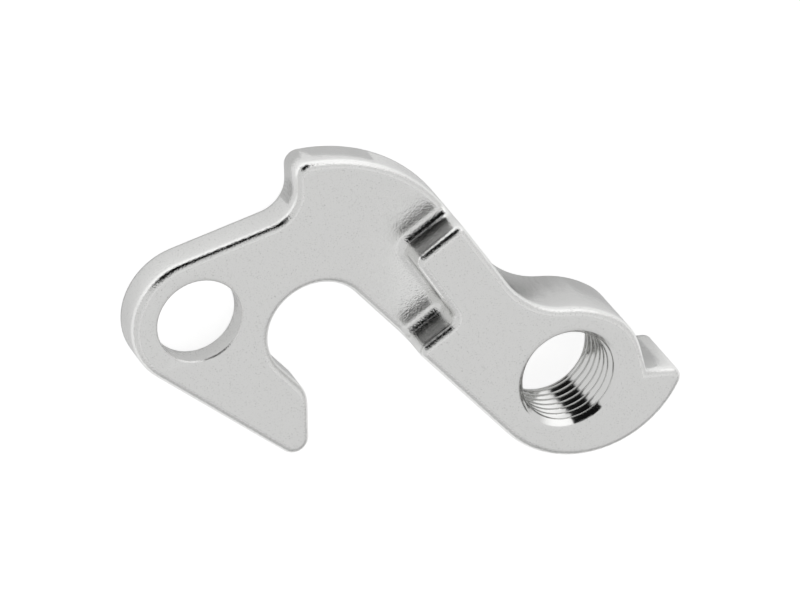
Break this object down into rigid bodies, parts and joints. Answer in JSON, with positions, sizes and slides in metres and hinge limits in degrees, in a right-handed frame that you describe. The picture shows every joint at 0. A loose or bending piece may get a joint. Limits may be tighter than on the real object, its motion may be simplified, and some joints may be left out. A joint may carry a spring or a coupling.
{
  "type": "bicycle derailleur hanger",
  "caption": "Stepped metal derailleur hanger with a frame bolt eye, an open hook-shaped axle slot, a threaded derailleur hole and a stop tab.",
  "frame": {"origin": "axis of the derailleur thread, on the flat back face", "axes": "+X from the frame bolt eye to the derailleur thread, +Y towards the tall shoulder, +Z out of the stepped front, away from the flat back"},
  "size_m": [0.0556, 0.0303, 0.0074],
  "materials": {
    "hanger": "bright satin, fine-grained as after tumbling"
  },
  "bodies": {
    "root": {"hanger": "hanger"}
  },
  "joints": []
}
